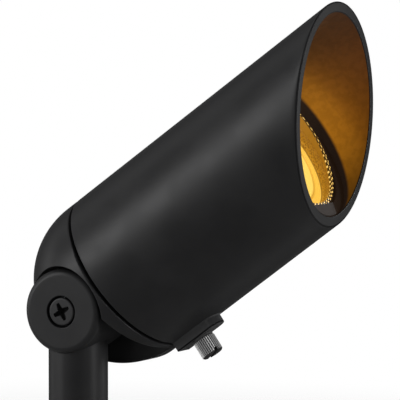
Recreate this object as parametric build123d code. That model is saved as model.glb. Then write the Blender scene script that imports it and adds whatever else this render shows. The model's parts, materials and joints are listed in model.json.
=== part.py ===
from build123d import *
from math import cos, pi, radians, sin, sqrt, tan
import os

# Outdoor spotlight on a tilting side knuckle. Millimetres, +Z up, +X the way the lamp points.
# The stem stands on the Z axis and the origin is the foot of the stem, where its pipe thread starts.

# Stem and its foot
stem_radius = 10.67
hinge_height = 46.0
stem_bore_radius = 5.0
thread_radius = 10.45
thread_length = 16.0
thread_chamfer = 1.0
nipple_plug_radius = 8.0
nipple_plug_length = 12.0
grommet_seat_radius = 7.4
grommet_length = 7.0
grommet_bore_radius = 4.0
grommet_lip_radius = 8.8
grommet_lip_thickness = 1.2

# Knuckle barrel on the stem, and the screw through it
barrel_radius = 15.1
barrel_front = 12.5
barrel_back = 10.0
barrel_round = 2.2
counterbore_radius = 5.8
counterbore_depth = 4.4
screw_head_radius = 5.3
screw_head_height = 3.3
screw_head_round = 0.5
screw_radius = 2.4
cross_width = 1.4
cross_span = 6.0
cross_depth = 2.0
cross_turn = -28.0
washer_radius = 5.0
washer_thickness = 0.8
nut_flat_radius = 4.76
nut_thickness = 3.2
screw_past_nut = 1.6
wire_way_inner = 5.2
wire_way_outer = 11.6
wire_way_depth = 14.0

# Lamp head: its tilt, and where the knuckle sits in it
tilt = 36.0
lamp_offset = 16.5
hinge_back = 18.0
hinge_below = 2.8

# Rear housing
body_radius = 31.75
housing_band = 5.2
housing_wall = 4.15
belly_radius = 38.8
belly_raise = 7.05
belly_back = 0.8
edge_round = 0.5
parting_gap = 1.25
pocket_gap = 1.3
pocket_floor = 2.0
pocket_floor_wall = 3.0
pocket_front = 0.9
pocket_front_slope = 9.75
pad_radius = 14.2
pad_gap = 0.3
knuckle_gasket_inner = 12.0
knuckle_gasket_outer = 13.4
knuckle_gasket_depth = 1.2
knuckle_gasket_proud = 0.05
spigot_length = 22.0
spigot_wall = 2.95
bulkhead_front = 3.5
oring_place = 3.2
oring_section = 1.8
oring_groove_width = 2.2
post_radius = 3.6
post_inset = 6.4
post_top = 10.5
post_root = 1.0

# Wire entry through the housing's pad, and the two leads in it
wire_entry_reach = 8.6
wire_entry_radius = 3.0
lead_grommet_wall = 0.5
lead_grommet_lip = 0.6
lead_radius = 1.1
lead_spread = 2.5
lead_bend = 5.0
lead_swing = 11.0
lead_past_pad = 1.2

# Shroud
shroud_wall = 3.1
mouth_angle = 37.3
mouth_lip = 0.22
mouth_outer_round = 1.2
mouth_inner_round = 0.35
tongue_width = 8.2
tongue_front = 20.3
tongue_proud = 3.25
tongue_chamfer = 0.3

# Thumbscrew
thumb_place = 10.1
thumb_radius = 4.1
thumb_length = 6.6
thumb_knurls = 30
thumb_knurl_depth = 0.35
thumb_chamfer = 0.45
thumb_slot_width = 1.2
thumb_slot_depth = 1.3
thumb_slot_turn = 33.0
thumb_shank_radius = 2.0
thumb_washer_radius = 3.9
thumb_washer_thickness = 0.8
clamp_groove_width = 5.2
clamp_groove_depth = 1.6

# Lens and its holding ring
lens_ring_thickness = 0.9
lens_ring_width = 4.25
lens_ring_chamfer = 0.3
lens_edge_cover = 2.2
lens_thickness = 3.0
lens_gasket_lip = 0.4
ledge_thickness = 2.5
ledge_width = 3.05

# Plug-in lamp
lamp_play = 0.7
lamp_gap = 1.5
lamp_rim = 2.5
lamp_wall = 1.2
optic_thickness = 1.6
bowl_depth = 28.0
bowl_neck_radius = 9.5
bowl_flare = 1.9
bowl_rise = 8.0
base_width = 17.0
base_depth = 11.0
base_height = 14.0
base_round = 2.0
led_board_radius = 7.5
led_board_thickness = 1.6
led_radius = 3.6
led_height = 1.2
pin_radius = 0.8
pin_spacing = 5.3
pin_length = 7.5
pin_root = 3.0

# Socket and its bracket
socket_radius = 10.0
socket_height = 15.7
contact_wall = 0.7
contact_seat = 2.0
bracket_thickness = 1.5
bracket_width = 11.0
bracket_hole_radius = 2.2
bracket_screw_radius = 1.5
bracket_screw_head_radius = 2.8
bracket_screw_head_height = 1.8
bracket_screw_length = 7.0

# Fits
running_clearance = 0.05
press_clearance = 0.02
sliding_clearance = 0.3
face_clearance = 0.1

# Worked out from the sizes above. In the lamp head, Z runs along the tube from the parting gap.
shroud_inner = body_radius - shroud_wall
shroud_rear = parting_gap / 2
housing_front = -parting_gap / 2
spigot_radius = shroud_inner - sliding_clearance
cavity_radius = spigot_radius - spigot_wall
post_spacing = 2 * (cavity_radius - post_inset)
dome_cavity_radius = body_radius - housing_wall
post_foot = -housing_band - sqrt(dome_cavity_radius ** 2 - (post_spacing / 2) ** 2) - post_root
pocket_radius = barrel_radius + pocket_gap
pad_face = barrel_back + pad_gap - lamp_offset
floor_inner = pocket_floor_wall - pocket_floor
counterbore_floor = counterbore_depth - barrel_front
washer_face = counterbore_floor - face_clearance
screw_head_under = washer_face - washer_thickness
screw_bore_radius = screw_radius + running_clearance
screw_end = lamp_offset + floor_inner + nut_thickness + screw_past_nut
wire_entry_x = hinge_below - wire_entry_reach
oring_radius = shroud_inner - running_clearance - oring_section / 2
tongue_face = body_radius + tongue_proud
thumb_washer_face = tongue_face + face_clearance
thumb_under = thumb_washer_face + thumb_washer_thickness
clamp_floor = spigot_radius - clamp_groove_depth
thumb_tip = clamp_floor + sliding_clearance
thumb_hole_radius = thumb_shank_radius + running_clearance
lens_ring_inner = shroud_inner - lens_ring_width
lens_radius = lens_ring_inner + lens_edge_cover
ledge_radius = shroud_inner - ledge_width
lamp_radius = ledge_radius - lamp_play
socket_back = post_top + bracket_thickness
socket_front = socket_back + socket_height
contact_back = socket_back + contact_seat
base_back = socket_front + face_clearance
pin_end = base_back - pin_length
bowl_back = base_back + base_height
bowl_floor = bowl_back + lamp_wall
bowl_front = bowl_back + bowl_depth
lamp_front = bowl_front + lamp_rim
lens_back = lamp_front + lamp_gap
lens_front = lens_back + lens_thickness
ledge_front = lens_back - lens_gasket_lip
lens_ring_back = lens_front + lens_gasket_lip
lens_ring_front = lens_ring_back + lens_ring_thickness
mouth_reach = lens_ring_front + mouth_lip + shroud_inner * tan(radians(mouth_angle))
mouth_top = mouth_reach + body_radius * tan(radians(mouth_angle))
contact_inner = pin_radius + running_clearance
contact_outer = contact_inner + contact_wall

# Room for shapes that only cut or bound others
far = 4 * body_radius
on_base = (Align.CENTER, Align.CENTER, Align.MIN)

# Places the upright-drawn lamp head (+X its underside) on the hinge, tilted
head_place = Pos(0, lamp_offset, hinge_height) * Rot(0, 90 - tilt, 0) * Pos(-hinge_below, 0, hinge_back)


def rod_z(radius, low, high):
    """Round bar along Z."""
    return Pos(0, 0, low) * Cylinder(radius, high - low, align=on_base)


def rod_y(radius, low, high):
    """Round bar along Y."""
    return Rot(-90, 0, 0) * rod_z(radius, low, high)


def rod_x(radius, low, high):
    """Round bar along X."""
    return Rot(0, 90, 0) * rod_z(radius, low, high)


def ring_z(outer, inner, low, high):
    """Round ring along Z."""
    return rod_z(outer, low, high) - rod_z(inner, low, high)


def ring_y(outer, inner, low, high):
    """Round ring along Y."""
    return rod_y(outer, low, high) - rod_y(inner, low, high)


def circle_edges(shape, axis):
    """Circular edges of a shape, in order along an axis."""
    return shape.edges().filter_by(GeomType.CIRCLE).sort_by(axis)


def block(x_align, y_align, z_align):
    """Large block that reaches far on the sides its alignments leave open."""
    return Box(2 * far, 2 * far, 2 * far, align=(x_align, y_align, z_align))


def at_stem_hinge(shape):
    """Move a shape drawn round the Y axis up to the hinge on the stem."""
    return Pos(0, 0, hinge_height) * shape


def at_head_hinge(shape):
    """Move a shape drawn round the Y axis to the hinge in the lamp head."""
    return Pos(hinge_below, 0, -hinge_back) * shape


def at_wire_entry(shape):
    """Move a shape drawn round the Y axis to the wire entry in the lamp head."""
    return Pos(wire_entry_x, 0, -hinge_back) * shape


def at_thumbscrew(shape):
    """Move a shape drawn round the X axis to the thumbscrew's place along the tube."""
    return Pos(0, 0, thumb_place) * shape


def pair_along_x(shape, spacing):
    """Two copies of a shape, spaced along X."""
    return Pos(-spacing / 2, 0, 0) * shape + Pos(spacing / 2, 0, 0) * shape


def pair_along_y(shape, spacing):
    """Two copies of a shape, spaced along Y."""
    return Pos(0, -spacing / 2, 0) * shape + Pos(0, spacing / 2, 0) * shape


def make_stem_post():
    """Stem with the knuckle barrel across its top, hollow for the wires."""
    barrel = rod_y(barrel_radius, -barrel_front, barrel_back)
    barrel = fillet(circle_edges(barrel, Axis.Y)[0], barrel_round)
    post = rod_z(stem_radius, 0, hinge_height) - at_stem_hinge(rod_y(pocket_radius, barrel_back, far))
    post += at_stem_hinge(barrel)
    wire_way = ring_y(wire_way_outer, wire_way_inner, barrel_back - wire_way_depth, barrel_back)
    post -= at_stem_hinge(wire_way)
    post -= rod_z(stem_bore_radius, 0, hinge_height - (wire_way_inner + wire_way_outer) / 2)
    post -= rod_z(nipple_plug_radius + press_clearance, 0, nipple_plug_length)
    post -= at_stem_hinge(rod_y(counterbore_radius, -barrel_front, counterbore_floor))
    post -= at_stem_hinge(rod_y(screw_bore_radius, -barrel_front, barrel_back))
    return post


def make_threaded_nipple():
    """Hollow half-inch pipe nipple: a plug up inside the stem and the pipe thread below it."""
    threaded = rod_z(thread_radius, -thread_length, 0)
    threaded = chamfer(circle_edges(threaded, Axis.Z)[0], thread_chamfer)
    nipple = threaded + rod_z(nipple_plug_radius, 0, nipple_plug_length)
    nipple -= rod_z(stem_bore_radius, -thread_length, nipple_plug_length)
    nipple -= rod_z(grommet_seat_radius, -thread_length, grommet_length - thread_length)
    return nipple


def make_cable_grommet():
    """Rubber bush at the cable inlet, with a lip under the nipple."""
    lip_bottom = -thread_length - grommet_lip_thickness
    bush = rod_z(grommet_seat_radius - press_clearance, -thread_length, grommet_length - thread_length)
    bush += rod_z(grommet_lip_radius, lip_bottom, -thread_length)
    bush -= rod_z(grommet_bore_radius, lip_bottom, grommet_length - thread_length)
    return bush


def make_knuckle_screw():
    """Pan-head screw with a cross recess, through the barrel into the lamp head."""
    head_top = screw_head_under - screw_head_height
    head = rod_y(screw_head_radius, head_top, screw_head_under)
    head = fillet(circle_edges(head, Axis.Y)[0], screw_head_round)
    arm = Box(cross_span, 2 * cross_depth, cross_width)
    recess = Rot(0, cross_turn, 0) * (arm + Rot(0, 90, 0) * arm)
    head -= Pos(0, head_top, 0) * recess
    return at_stem_hinge(head + rod_y(screw_radius, screw_head_under, screw_end))


def make_knuckle_washer():
    """Plain washer between the screw's head and the floor of its counterbore."""
    return at_stem_hinge(ring_y(washer_radius, screw_bore_radius, screw_head_under, washer_face))


def make_knuckle_nut():
    """Hexagon nut inside the housing, on the screw's end, with a flat towards the leads."""
    hexagon = RegularPolygon(nut_flat_radius, 6, major_radius=False, rotation=30)
    nut = extrude(hexagon, nut_thickness) - rod_z(screw_bore_radius, 0, nut_thickness)
    return head_place * at_head_hinge(Pos(0, floor_inner, 0) * Rot(-90, 0, 0) * nut)


def make_knuckle_gasket():
    """Flat ring in the pad's groove, which seals and grips the barrel's face."""
    low = pad_face - knuckle_gasket_proud
    high = pad_face + knuckle_gasket_depth - press_clearance
    outer = knuckle_gasket_outer - press_clearance
    inner = knuckle_gasket_inner + press_clearance
    return head_place * at_head_hinge(ring_y(outer, inner, low, high))


def make_housing_dome():
    """Outside of the rear housing: short band, dome, relieved belly, knuckle pocket and pad."""
    band = rod_z(body_radius, -housing_band, housing_front)
    band = fillet(circle_edges(band, Axis.Z)[-1], edge_round)
    cap = Sphere(body_radius, -90, 0, 360, align=(Align.CENTER, Align.CENTER, Align.MAX))
    dome = band + Pos(0, 0, -housing_band) * cap
    dome &= Pos(-belly_raise, 0, -belly_back) * rod_y(belly_radius, -far, far)
    behind = Pos(-pocket_radius, 0, 0) * block(Align.MIN, Align.CENTER, Align.MAX)
    swing = at_head_hinge(rod_y(pocket_radius, -far, far) + behind)
    front = Pos(0, 0, -pocket_front) * Rot(pocket_front_slope, 0, 0)
    below = front * block(Align.CENTER, Align.CENTER, Align.MAX)
    below &= Pos(hinge_below, 0, 0) * block(Align.MIN, Align.CENTER, Align.CENTER)
    near_side = Pos(0, -pocket_floor, 0) * block(Align.CENTER, Align.MAX, Align.CENTER)
    dome -= (swing + below) & near_side
    return dome + at_head_hinge(rod_y(pad_radius, pad_face, 0))


def make_housing_cavity():
    """Hollow of the rear housing: the spigot's bore, and the dome's far half behind the pocket floor."""
    bore = rod_z(cavity_radius, bulkhead_front, spigot_length)
    back = Pos(0, 0, -housing_band) * Sphere(dome_cavity_radius)
    back &= rod_z(cavity_radius, -far, bulkhead_front)
    back &= Pos(0, floor_inner, 0) * block(Align.CENTER, Align.MIN, Align.CENTER)
    return bore + back


def make_clamp_groove():
    """Groove along the spigot's underside for the thumbscrew's tip, open at the front."""
    groove_end = at_thumbscrew(rod_x(clamp_groove_width / 2, clamp_floor, body_radius))
    run = Box(body_radius - clamp_floor, clamp_groove_width, far, align=(Align.MIN, Align.CENTER, Align.MIN))
    return groove_end + at_thumbscrew(Pos(clamp_floor, 0, 0) * run)


def make_rear_housing():
    """Rear housing with its spigot, wire entry, seal grooves and the two posts for the bracket."""
    housing = make_housing_dome()
    housing += rod_z(spigot_radius, housing_front, spigot_length)
    housing -= make_housing_cavity()
    near_post = Pos(0, -post_spacing / 2, 0) * rod_z(post_radius, 0, post_top)
    far_post = Pos(0, post_spacing / 2, 0) * rod_z(post_radius, post_foot, post_top)
    housing += near_post + far_post
    tapped = rod_z(bracket_screw_radius + press_clearance, post_top - bracket_screw_length, post_top)
    housing -= pair_along_y(tapped, post_spacing)
    groove_low = oring_place - oring_groove_width / 2
    groove_floor = oring_radius - oring_section / 2 - press_clearance
    housing -= ring_z(body_radius, groove_floor, groove_low, groove_low + oring_groove_width)
    housing -= make_clamp_groove()
    gasket_groove = ring_y(knuckle_gasket_outer, knuckle_gasket_inner, pad_face, pad_face + knuckle_gasket_depth)
    housing -= at_head_hinge(gasket_groove)
    housing -= at_head_hinge(rod_y(screw_radius + press_clearance, pad_face, floor_inner))
    housing -= at_wire_entry(rod_y(wire_entry_radius, pad_face, floor_inner))
    return head_place * housing


def make_housing_oring():
    """Round-section seal in the spigot's groove."""
    return head_place * Pos(0, 0, oring_place) * Torus(oring_radius, oring_section / 2)


def make_lead_grommet():
    """Bush that lines the wire entry, with a lip inside the housing."""
    outer = wire_entry_radius - press_clearance
    inner = wire_entry_radius - lead_grommet_wall
    lip_end = floor_inner + lead_grommet_lip
    bush = rod_y(outer, pad_face, floor_inner) + rod_y(wire_entry_radius + lead_grommet_lip, floor_inner, lip_end)
    return head_place * at_wire_entry(bush - rod_y(inner, pad_face, lip_end))


def make_lead(side):
    """One lead: out of its contact, back through the bracket, round and out through the wire entry."""
    socket_x = side * pin_spacing / 2
    entry_x = wire_entry_x + side * lead_spread / 2
    route = [
        (socket_x, 0, contact_back),
        (socket_x, 0, post_top),
        (entry_x, lead_swing, -hinge_back),
        (entry_x, pad_face - lead_past_pad, -hinge_back),
    ]
    path = FilletPolyline(*route, radius=lead_bend)
    section = Plane(origin=path @ 0, z_dir=path % 0) * Circle(lead_radius)
    return sweep(section, path=path)


def make_lead_wires():
    """The two leads between the socket and the knuckle."""
    return head_place * (make_lead(-1) + make_lead(1))


def make_socket_bracket():
    """Flat strap across the two posts, with holes for its screws and for the leads."""
    strap = Box(bracket_width, post_spacing, bracket_thickness, align=on_base)
    strap += pair_along_y(Cylinder(bracket_width / 2, bracket_thickness, align=on_base), post_spacing)
    strap -= pair_along_y(rod_z(bracket_screw_radius + press_clearance, 0, bracket_thickness), post_spacing)
    strap -= pair_along_x(rod_z(bracket_hole_radius, 0, bracket_thickness), pin_spacing)
    return head_place * Pos(0, 0, post_top) * strap


def make_bracket_screws():
    """Two pan-head screws that hold the strap to the posts."""
    head = rod_z(bracket_screw_head_radius, socket_back, socket_back + bracket_screw_head_height)
    head = fillet(circle_edges(head, Axis.Z)[-1], bracket_screw_head_height / 2)
    screw = head + rod_z(bracket_screw_radius, post_top - bracket_screw_length, socket_back)
    return head_place * pair_along_y(screw, post_spacing)


def make_lamp_socket():
    """Round ceramic socket with two contact wells and two lead holes behind them."""
    socket = rod_z(socket_radius, socket_back, socket_front)
    socket = fillet(circle_edges(socket, Axis.Z)[-1], edge_round)
    socket -= pair_along_x(rod_z(contact_outer + press_clearance, contact_back, socket_front), pin_spacing)
    socket -= pair_along_x(rod_z(lead_radius + press_clearance, socket_back, contact_back), pin_spacing)
    return head_place * socket


def make_socket_contacts():
    """Two sleeves that grip the lamp's pins."""
    sleeve = ring_z(contact_outer, contact_inner, contact_back, socket_front - contact_wall)
    return head_place * pair_along_x(sleeve, pin_spacing)


def make_lamp_reflector():
    """Bowl of the plug-in lamp: closed neck, flared wall and straight rim."""
    inner_front = lamp_radius - lamp_wall
    neck = (bowl_neck_radius, bowl_back)
    flare = (lamp_radius - bowl_flare, bowl_back + bowl_rise)
    inner_neck = (bowl_neck_radius - lamp_wall, bowl_floor)
    inner_flare = (inner_front - bowl_flare, bowl_floor + bowl_rise)
    outline = Line((0, bowl_back), neck)
    outline += Bezier(neck, flare, (lamp_radius, bowl_front))
    outline += Polyline((lamp_radius, bowl_front), (lamp_radius, lamp_front), (inner_front, lamp_front),
                        (inner_front, bowl_front))
    outline += Bezier((inner_front, bowl_front), inner_flare, inner_neck)
    outline += Polyline(inner_neck, (0, bowl_floor), (0, bowl_back))
    section = Plane.XZ * make_face(outline)
    return head_place * revolve(section, Axis.Z)


def make_lamp_optic():
    """Front disc of the lamp, inside its rim."""
    disc = rod_z(lamp_radius - lamp_wall - press_clearance, lamp_front - optic_thickness, lamp_front)
    return head_place * disc


def make_lamp_led_board():
    """Round light-source board on the bowl's floor, with its raised emitter."""
    board_top = bowl_floor + led_board_thickness
    board = rod_z(led_board_radius, bowl_floor, board_top) + rod_z(led_radius, board_top, board_top + led_height)
    return head_place * board


def make_lamp_base():
    """Ceramic foot of the lamp, with the holes its pins stand in."""
    foot = Pos(0, 0, base_back) * Box(base_width, base_depth, base_height, align=on_base)
    foot = fillet(foot.edges().filter_by(Axis.Z), base_round)
    foot -= pair_along_x(rod_z(pin_radius + press_clearance, base_back, base_back + pin_root), pin_spacing)
    return head_place * foot


def make_lamp_pins():
    """The lamp's two contact pins."""
    return head_place * pair_along_x(rod_z(pin_radius, pin_end, base_back + pin_root), pin_spacing)


def make_tongue():
    """Tongue for the thumbscrew along the shroud's underside, flush with its rear and round at its front."""
    round_place = tongue_front - tongue_width / 2
    length = round_place - shroud_rear
    flat = Pos(0, 0, shroud_rear) * Box(tongue_face, tongue_width, length, align=(Align.MIN, Align.CENTER, Align.MIN))
    tongue = flat + Pos(0, 0, round_place) * rod_x(tongue_width / 2, 0, tongue_face)
    return chamfer(tongue.faces().sort_by(Axis.X)[-1].edges(), tongue_chamfer)


def make_shroud():
    """Tube with the slanted mouth, the thumbscrew's tongue below and the ledge that the lens rests on."""
    tube = rod_z(body_radius, shroud_rear, mouth_top)
    tube = fillet(circle_edges(tube, Axis.Z)[0], edge_round)
    tube += make_tongue()
    tube -= rod_z(shroud_inner, 0, mouth_top)
    tube += ring_z(shroud_inner + shroud_wall / 2, ledge_radius, ledge_front - ledge_thickness, ledge_front)
    tube -= at_thumbscrew(rod_x(thumb_hole_radius, 0, tongue_face))
    tube -= Pos(0, 0, mouth_reach) * Rot(0, mouth_angle, 0) * block(Align.CENTER, Align.CENTER, Align.MIN)
    mouth_normal = (sin(radians(mouth_angle)), 0, cos(radians(mouth_angle)))
    rim = tube.faces().filter_by(GeomType.PLANE).sort_by(Axis((0, 0, 0), mouth_normal))[-1]
    tube = fillet(rim.outer_wire().edges(), mouth_outer_round)
    rim = tube.faces().filter_by(GeomType.PLANE).sort_by(Axis((0, 0, 0), mouth_normal))[-1]
    return head_place * fillet(rim.inner_wires().edges(), mouth_inner_round)


def make_lens_glass():
    """Flat front lens."""
    disc = rod_z(lens_radius, lens_back, lens_front)
    return head_place * chamfer(circle_edges(disc, Axis.Z), lens_gasket_lip / 2)


def make_lens_gasket():
    """Channel-section seal round the edge of the lens, between the ledge and the holding ring."""
    seal = ring_z(shroud_inner - press_clearance, lens_ring_inner, ledge_front, lens_ring_back)
    return head_place * (seal - rod_z(lens_radius + press_clearance, lens_back, lens_front))


def make_lens_ring():
    """Holding ring in front of the lens, with a bevelled inner edge."""
    ring = ring_z(shroud_inner - press_clearance, lens_ring_inner, lens_ring_back, lens_ring_front)
    front_edges = circle_edges(ring, Axis.Z)[-2:]
    return head_place * chamfer(front_edges.sort_by(SortBy.RADIUS)[0], lens_ring_chamfer)


def make_thumbscrew_washer():
    """Thin sealing washer under the thumbscrew's head."""
    washer = rod_x(thumb_washer_radius, thumb_washer_face, thumb_under)
    return head_place * at_thumbscrew(washer - rod_x(thumb_hole_radius, thumb_washer_face, thumb_under))


def make_thumbscrew():
    """Knurled thumbscrew with a screwdriver slot, its tip in the spigot's groove."""
    corners = []
    for step in range(2 * thumb_knurls):
        corner_radius = thumb_radius - thumb_knurl_depth * (step % 2)
        corner_angle = pi * step / thumb_knurls
        corners.append((corner_radius * cos(corner_angle), corner_radius * sin(corner_angle)))
    knurled = extrude(make_face(Polyline(*corners, close=True)), thumb_length)
    bar = rod_z(thumb_radius, 0, thumb_length)
    head = knurled & chamfer(circle_edges(bar, Axis.Z), thumb_chamfer)
    slot = Box(2 * thumb_radius, thumb_slot_width, 2 * thumb_slot_depth)
    head -= Pos(0, 0, thumb_length) * Rot(0, 0, thumb_slot_turn) * slot
    screw = Pos(thumb_under, 0, 0) * Rot(0, 90, 0) * head + rod_x(thumb_shank_radius, thumb_tip, thumb_under)
    return head_place * at_thumbscrew(screw)


nodes = {
    "stem_post": make_stem_post(),
    "threaded_nipple": make_threaded_nipple(),
    "cable_grommet": make_cable_grommet(),
    "knuckle_screw": make_knuckle_screw(),
    "knuckle_washer": make_knuckle_washer(),
    "knuckle_nut": make_knuckle_nut(),
    "knuckle_gasket": make_knuckle_gasket(),
    "rear_housing": make_rear_housing(),
    "housing_oring": make_housing_oring(),
    "lead_grommet": make_lead_grommet(),
    "lead_wires": make_lead_wires(),
    "socket_bracket": make_socket_bracket(),
    "bracket_screws": make_bracket_screws(),
    "lamp_socket": make_lamp_socket(),
    "socket_contacts": make_socket_contacts(),
    "lamp_reflector": make_lamp_reflector(),
    "lamp_optic": make_lamp_optic(),
    "lamp_led_board": make_lamp_led_board(),
    "lamp_base": make_lamp_base(),
    "lamp_pins": make_lamp_pins(),
    "shroud": make_shroud(),
    "lens_glass": make_lens_glass(),
    "lens_gasket": make_lens_gasket(),
    "lens_ring": make_lens_ring(),
    "thumbscrew_washer": make_thumbscrew_washer(),
    "thumbscrew": make_thumbscrew(),
}

os.makedirs("parts", exist_ok=True)
for name, shape in nodes.items():
    export_step(shape, "parts/" + name + ".step")
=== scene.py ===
import json
import math

import bpy
import numpy as np
from mathutils import Matrix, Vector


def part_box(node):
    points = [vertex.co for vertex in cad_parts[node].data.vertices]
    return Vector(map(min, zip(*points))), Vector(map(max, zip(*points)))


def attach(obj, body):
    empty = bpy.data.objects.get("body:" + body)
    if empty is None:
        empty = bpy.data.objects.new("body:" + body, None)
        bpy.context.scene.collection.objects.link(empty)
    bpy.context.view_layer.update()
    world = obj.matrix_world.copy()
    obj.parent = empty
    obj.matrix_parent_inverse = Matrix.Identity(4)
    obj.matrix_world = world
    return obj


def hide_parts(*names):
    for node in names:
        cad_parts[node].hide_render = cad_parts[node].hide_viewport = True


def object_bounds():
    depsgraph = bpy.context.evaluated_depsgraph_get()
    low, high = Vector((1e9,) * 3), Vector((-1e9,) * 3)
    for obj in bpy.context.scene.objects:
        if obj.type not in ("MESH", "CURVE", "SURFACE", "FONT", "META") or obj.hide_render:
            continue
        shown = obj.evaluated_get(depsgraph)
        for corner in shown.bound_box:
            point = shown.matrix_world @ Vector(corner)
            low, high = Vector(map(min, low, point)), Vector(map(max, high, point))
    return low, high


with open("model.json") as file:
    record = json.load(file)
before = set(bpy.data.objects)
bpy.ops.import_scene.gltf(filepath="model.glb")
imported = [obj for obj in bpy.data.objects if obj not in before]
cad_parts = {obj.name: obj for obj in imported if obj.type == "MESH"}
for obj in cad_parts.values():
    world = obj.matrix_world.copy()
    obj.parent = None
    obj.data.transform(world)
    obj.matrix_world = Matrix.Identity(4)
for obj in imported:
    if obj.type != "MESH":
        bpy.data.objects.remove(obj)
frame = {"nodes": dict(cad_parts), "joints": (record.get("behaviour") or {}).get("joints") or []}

cad_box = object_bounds()

# Outdoor spotlight with a slanted glare mouth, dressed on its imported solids
# Lengths are in metres, in the solids' own frame
mm = 0.001
inch = 25.4 * mm
full_turn = 2 * math.pi

# Axes of the lamp head, from the joints: along its underside, to its side, along its tube
joints = {joint["name"]: joint for joint in frame["joints"]}
thumb_place = 10.1 * mm
underside = np.array(joints["thumbscrew_travel"]["axis"])
tube_axis = np.array(joints["shroud_slide"]["axis"])
side = np.cross(tube_axis, underside)
head_axes = np.stack([underside, side, tube_axis])
thumb_point = np.array(joints["thumbscrew_turn"]["pos_m"])
thumb_axes = np.stack([side, tube_axis, underside])
gap_centre = thumb_point - thumb_place * tube_axis
hinge_point = np.array(joints["knuckle_tilt"]["pos_m"])
hinge_axes = np.array([[0.0, 0.0, 1.0], [1.0, 0.0, 0.0], [0.0, 1.0, 0.0]])
stem_foot = np.zeros(3)
stem_axes = np.eye(3)
under_axis, side_axis, along_axis = range(3)


def head_span(node):
    """Lowest and highest corner of a solid in the head's axes.

    Its points less the gap's centre are projected on the axes.
    """
    mesh = frame["nodes"][node].data
    points = np.empty(3 * len(mesh.vertices))
    mesh.vertices.foreach_get("co", points)
    along = (points.reshape(-1, 3) - gap_centre) @ head_axes.T
    return along.min(axis=0), along.max(axis=0)


# Sizes read from the solids
shroud_low, shroud_high = head_span("shroud")
lens_low, lens_high = head_span("lens_glass")
optic_low, optic_high = head_span("lamp_optic")
ring_high = head_span("lens_ring")[1]
thumb_high = head_span("thumbscrew")[1]
washer_high = head_span("thumbscrew_washer")[1]
tube_radius = shroud_high[side_axis]
tube_rear = shroud_low[along_axis]
tongue_face = shroud_high[under_axis]
lens_back = lens_low[along_axis]
lens_front = lens_high[along_axis]
ring_front = ring_high[along_axis]
optic_back = optic_low[along_axis]
optic_front = optic_high[along_axis]
optic_radius = optic_high[side_axis]
thumb_tip = thumb_high[under_axis]
washer_face = washer_high[under_axis]
screw_low, screw_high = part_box("knuckle_screw")
nipple_low, nipple_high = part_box("threaded_nipple")

# Sizes that the solids share and that no outline gives
shroud_wall = 3.1 * mm
rear_round = 0.5 * mm
mouth_angle = math.radians(37.3)
mouth_lip = 0.22 * mm
mouth_crown = 0.3 * mm
mouth_bulge = 1.2 * mm
mouth_near_round = 1.8 * mm
mouth_face_share = 0.6
mouth_outer_round = 1.2 * mm
mouth_tip_round = 0.4 * mm
mouth_inner_round = 0.35 * mm
ledge_width = 3.05 * mm
ledge_thickness = 2.5 * mm
lens_seat = 0.4 * mm
lens_ring_width = 4.25 * mm
pressed_radius = 22.6 * mm
lens_radius = 26.6 * mm
tooth_radius = 22.9 * mm
tooth_band = 1.5 * mm
tooth_raise = 1.2 * mm
tooth_lean = 0.1
# Painted shadow of the lens ring on the shroud's inside, past which the painted spill starts
shadow_reach = 3.35 * mm
shadow_lean = 0.067
shadow_softness = 0.8 * mm
lamp_core_radius = 22.15 * mm
tongue_half_width = 4.1 * mm
tongue_front = 20.3 * mm
tongue_chamfer = 0.3 * mm
tongue_fillet = 0.45 * mm
thumb_hole = 2.05 * mm
thumb_radius = 4.1 * mm
thumb_knurl_depth = 0.35 * mm
screw_head_radius = 5.0 * mm
screw_head_height = 3.3 * mm
screw_shank_radius = 2.4 * mm
thread_radius = 10.45 * mm
threads_per_inch = 14
nipple_plug_radius = 8.0 * mm
nipple_bore = 5.0 * mm
grommet_seat_radius = 7.4 * mm
grommet_seat_length = 7.0 * mm

# Worked out
thread_pitch = inch / threads_per_inch
tube_inner = tube_radius - shroud_wall
mouth_slope = math.tan(mouth_angle)
mouth_reach = ring_front + mouth_lip + tube_inner * mouth_slope
ledge_front = lens_back - lens_seat
ledge_back = ledge_front - ledge_thickness
ledge_radius = tube_inner - ledge_width
lens_opening = tube_inner - lens_ring_width
tooth_plane = ring_front + tooth_raise
shadow_edge = ring_front + shadow_reach

# Fineness of the surfaces
corner_steps = 7
fine_columns = 256
plain_columns = 128
sharp_angle = math.radians(40.0)
fine_round = 0.15 * mm


def section_corners(pairs, columns):
    """Corners (radius, height) as an array (corner, column, 2); a plain number holds for every column."""
    return np.stack([np.stack([np.broadcast_to(part, columns) for part in pair], axis=1) for pair in pairs])


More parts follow.
